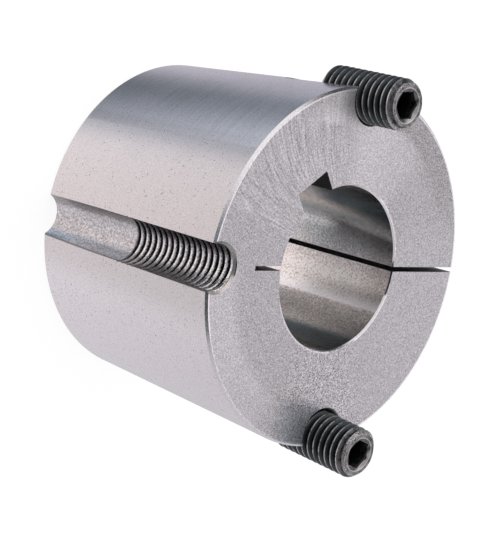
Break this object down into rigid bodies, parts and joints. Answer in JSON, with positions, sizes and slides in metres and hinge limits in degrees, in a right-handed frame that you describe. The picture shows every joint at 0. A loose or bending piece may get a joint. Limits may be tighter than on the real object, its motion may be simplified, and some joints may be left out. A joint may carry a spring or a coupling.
{
  "type": "taper bush",
  "caption": "Split taper bush with a keyed bore, a tapped jacking half-hole and two headless set screws, for clamping a pulley or sprocket to a shaft.",
  "frame": {"origin": "centre of the bore at the small end, where the bush stands", "axes": "+Z along the bore from the small end to the large end; +X from the axis to the split"},
  "size_m": [0.1074, 0.1184, 0.092],
  "materials": {
    "machined_iron": "machined and ground, bright, with fine pores",
    "black_oxide_steel": "black oxide, worn bright on the thread crests and the socket end"
  },
  "bodies": {
    "root": {"bush_body": "machined_iron", "upper_set_screw": "black_oxide_steel", "lower_set_screw": "black_oxide_steel"}
  },
  "joints": []
}
